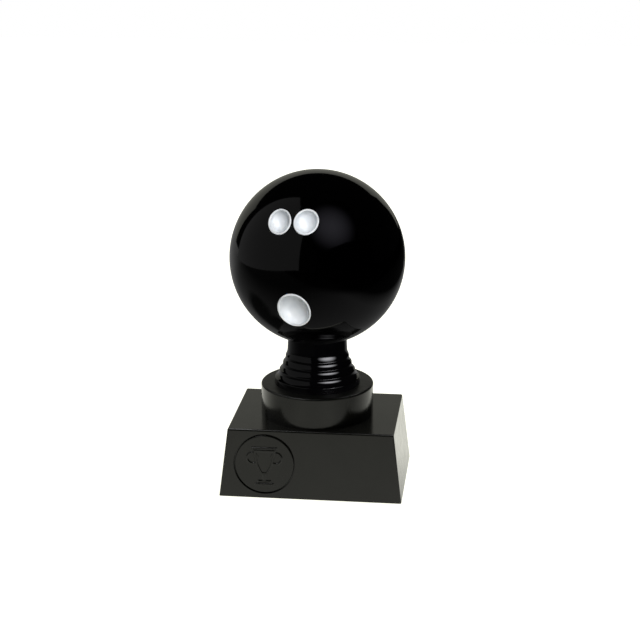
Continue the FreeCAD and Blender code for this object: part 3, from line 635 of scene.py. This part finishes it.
def ramp_along(nodes, links, place, axis, stops):
    """A brightness that follows one object axis; stops are (metres, brightness)."""
    split = nodes.new("ShaderNodeSeparateXYZ")
    links.new(place, split.inputs[0])
    low, high = stops[0][0], stops[-1][0]
    spread = nodes.new("ShaderNodeMapRange")
    spread.inputs["From Min"].default_value = low
    spread.inputs["From Max"].default_value = high
    links.new(split.outputs[axis], spread.inputs["Value"])
    curve = nodes.new("ShaderNodeValToRGB")
    ends = curve.color_ramp.elements
    ends[0].color = (stops[0][1],) * 3 + (1,)
    ends[1].color = (stops[-1][1],) * 3 + (1,)
    for position, brightness in stops[1:-1]:
        ends.new((position - low) / (high - low)).color = (brightness,) * 3 + (1,)
    links.new(spread.outputs["Result"], curve.inputs["Fac"])
    return curve.outputs["Color"]


def multiplied(nodes, links, first, second):
    node = nodes.new("ShaderNodeMath")
    node.operation = "MULTIPLY"
    links.new(first, node.inputs[0])
    links.new(second, node.inputs[1])
    return node.outputs[0]


def painted_table_light(nodes, links, place):
    """White for the camera; for base and cups a painted pool of light, a small glowing patch of table that
    darkens to the front and right.
    """
    along = ramp_along(nodes, links, place, "Y", PAINTED_LIGHT_ALONG)
    across = ramp_along(nodes, links, place, "X", PAINTED_LIGHT_ACROSS)
    seen = nodes.new("ShaderNodeLightPath").outputs["Is Camera Ray"]
    pick = nodes.new("ShaderNodeMix")
    links.new(seen, pick.inputs["Factor"])
    links.new(multiplied(nodes, links, along, across), pick.inputs["A"])
    pick.inputs["B"].default_value = TABLE_SEEN
    # painted light: the emission strength follows the pool laid out by the ramps above
    glow = nodes.new("ShaderNodeEmission")
    glow.inputs["Color"].default_value = WARM
    links.new(pick.outputs["Result"], glow.inputs["Strength"])
    return glow.outputs[0]


def painted_shade_table_top(nodes, links, place):
    """A pale matt top with painted shade: its colour darkens to the right and the front right."""
    along = ramp_along(nodes, links, place, "Y", PAINTED_SHADE_ALONG)
    across = ramp_along(nodes, links, place, "X", PAINTED_SHADE_ACROSS)
    turned = nodes.new("ShaderNodeMapping")
    turned.inputs["Rotation"].default_value = (0, 0, math.radians(45))
    links.new(place, turned.inputs["Vector"])
    front = ramp_along(nodes, links, turned.outputs["Vector"], "X", PAINTED_SHADE_FRONT)
    # painted shade: the diffuse colour carries the darker regions of table that ball and neck reflect
    top = nodes.new("ShaderNodeBsdfDiffuse")
    side = multiplied(nodes, links, along, across)
    links.new(multiplied(nodes, links, side, front), top.inputs["Color"])
    return top.outputs[0]


def table_white():
    """The table's material: its glow added to its matt top."""
    material = bpy.data.materials.new("table_white")
    material.use_nodes = True
    nodes = material.node_tree.nodes
    links = material.node_tree.links
    nodes.clear()
    place = nodes.new("ShaderNodeTexCoord").outputs["Object"]
    both = nodes.new("ShaderNodeAddShader")
    links.new(painted_table_light(nodes, links, place), both.inputs[0])
    links.new(painted_shade_table_top(nodes, links, place), both.inputs[1])
    links.new(both.outputs[0], nodes.new("ShaderNodeOutputMaterial").inputs["Surface"])
    return material


def flat_card(name, width, height, material):
    """A flat sheet of the studio."""
    mesh = bpy.data.meshes.new(name)
    corners = [(-width / 2, -height / 2, 0), (width / 2, -height / 2, 0),
               (width / 2, height / 2, 0), (-width / 2, height / 2, 0)]
    mesh.from_pydata(corners, [], [(0, 1, 2, 3)])
    mesh.materials.append(material)
    card = bpy.data.objects.new(name, mesh)
    bpy.context.scene.collection.objects.link(card)
    return card


def faded(nodes, links, width, height, radiance):
    """A card's brightness, fading smoothly from its middle to its rim."""
    place = nodes.new("ShaderNodeTexCoord").outputs["Object"]
    shape = nodes.new("ShaderNodeMapping")
    shape.inputs["Scale"].default_value = (2 / width, 2 / height, 1)
    links.new(place, shape.inputs["Vector"])
    fade = nodes.new("ShaderNodeTexGradient")
    fade.gradient_type = "SPHERICAL"
    links.new(shape.outputs["Vector"], fade.inputs["Vector"])
    level = nodes.new("ShaderNodeMapRange")
    level.interpolation_type = "SMOOTHSTEP"
    level.inputs["To Max"].default_value = radiance
    links.new(fade.outputs["Fac"], level.inputs["Value"])
    return level.outputs["Result"]


def reflector(name, azimuth, elevation, distance, width, height, radiance, colour=(1, 1, 1, 1), soft=False):
    """A glowing card that the camera doesn't see; a soft one fades out towards its rim."""
    material = bpy.data.materials.new(name)
    material.use_nodes = True
    nodes = material.node_tree.nodes
    links = material.node_tree.links
    nodes.clear()
    glow = nodes.new("ShaderNodeEmission")
    glow.inputs["Color"].default_value = colour
    glow.inputs["Strength"].default_value = radiance
    links.new(glow.outputs[0], nodes.new("ShaderNodeOutputMaterial").inputs["Surface"])
    if soft:
        links.new(faded(nodes, links, width, height, radiance), glow.inputs["Strength"])
    card = flat_card(name, width, height, material)
    target = Vector((0, 0, cad_box[1].z / 2))
    card.location = polar(azimuth, elevation, distance, target)
    aim(card, target)
    card.visible_camera = False
    return card


def receivers_of(*names):
    return [bpy.data.objects[name] for name in names]


def build_floor(base, cups):
    """A pale table, and a sun that lights only it."""
    floor = flat_card("floor", 3.0, 3.0, table_white())
    floor.location.z = cad_box[0].z - 0.1 * MM
    # the table's painted pool of light reaches only base and cups
    shine_only_on(floor, base + cups)
    sun = bpy.data.objects.new("table_light", bpy.data.lights.new("table_light", "SUN"))
    bpy.context.scene.collection.objects.link(sun)
    sun.data.energy = SUN_STRENGTH
    sun.data.angle = SUN_ANGLE
    sun.location = polar(85, 43, 1)
    aim(sun, Vector((0, 0, 0)))
    shine_only_on(sun, [floor])


def build_reflectors(ball, neck):
    """Glowing cards round the trophy, which show in the black plastic."""
    reflector("back_card", 194, 12, 1.4, 2.0, 0.75, 0.28, WARM)
    left = reflector("left_card", -75, 22, 1.0, 1.5, 1.2, 0.16)
    # upright and parallel to the trophy's left side, not turned to face it
    left.location = LEFT_CARD_PLACE
    left.rotation_euler = (0, math.radians(90), 0)
    left.scale = LEFT_CARD_STRETCH
    glow = reflector("ball_glow", 34, 52, 0.9, 1.1, 1.2, 0.42, (0.95, 0.92, 1.1, 1), soft=True)
    shine_only_on(glow, ball)
    key = reflector("neck_light", 44, 6, 0.9, 1.5, 0.8, 9.0, (0.98, 0.98, 1.03, 1), soft=True)
    shine_only_on(key, neck)


def build_world():
    """White for the camera, nearly dark for everything else."""
    world = bpy.data.worlds.new("studio")
    bpy.context.scene.world = world
    world.use_nodes = True
    nodes = world.node_tree.nodes
    links = world.node_tree.links
    ray = nodes.new("ShaderNodeLightPath")
    pick = nodes.new("ShaderNodeMix")
    links.new(ray.outputs["Is Camera Ray"], pick.inputs["Factor"])
    pick.inputs["A"].default_value = ROOM_GLOW
    pick.inputs["B"].default_value = 1.0
    links.new(pick.outputs["Result"], nodes["Background"].inputs["Strength"])
    nodes["Background"].inputs["Color"].default_value = (1, 1, 1, 1)


def build_studio():
    """Ball and neck, cups, and base are lit apart from each other by light linking."""
    ball = receivers_of("ball_front_shell", "ball_rear_shell")
    neck = receivers_of("neck")
    cups = receivers_of("left_finger_insert", "right_finger_insert", "thumb_insert")
    base = receivers_of("plinth_shell", "riser_disc", "emblem_relief", "base_cover", "felt_pad")
    build_floor(base, cups)
    build_reflectors(ball, neck)
    build_world()
    soft_box("cup_light", 30, 34, 0.9, 0.7, 0.7, 10.0, cups)
    soft_box("top_light", 90, 88, 1.0, 1.4, 1.4, 2.6, base)
    bpy.context.scene.view_settings.view_transform = "Standard"


# azimuth, elevation and distance of the camera from its target
CAMERA_PLACE = (6.663, 16.39, 0.7232)
CAMERA_TARGET_HEIGHT = 0.075
LENS_MM = 94.487
SENSOR_MM = 36.0
SHIFT = (0.0041, -0.0099)


def build_camera():
    """Slightly to the right of the plinth's front and above it, with a long lens."""
    data = bpy.data.cameras.new("camera")
    data.lens = LENS_MM
    data.sensor_width = SENSOR_MM
    data.shift_x, data.shift_y = SHIFT
    camera = bpy.data.objects.new("camera", data)
    bpy.context.scene.collection.objects.link(camera)
    target = Vector((0, 0, CAMERA_TARGET_HEIGHT))
    camera.location = polar(*CAMERA_PLACE, target)
    aim(camera, target)
    bpy.context.scene.camera = camera


build_studio()
build_camera()
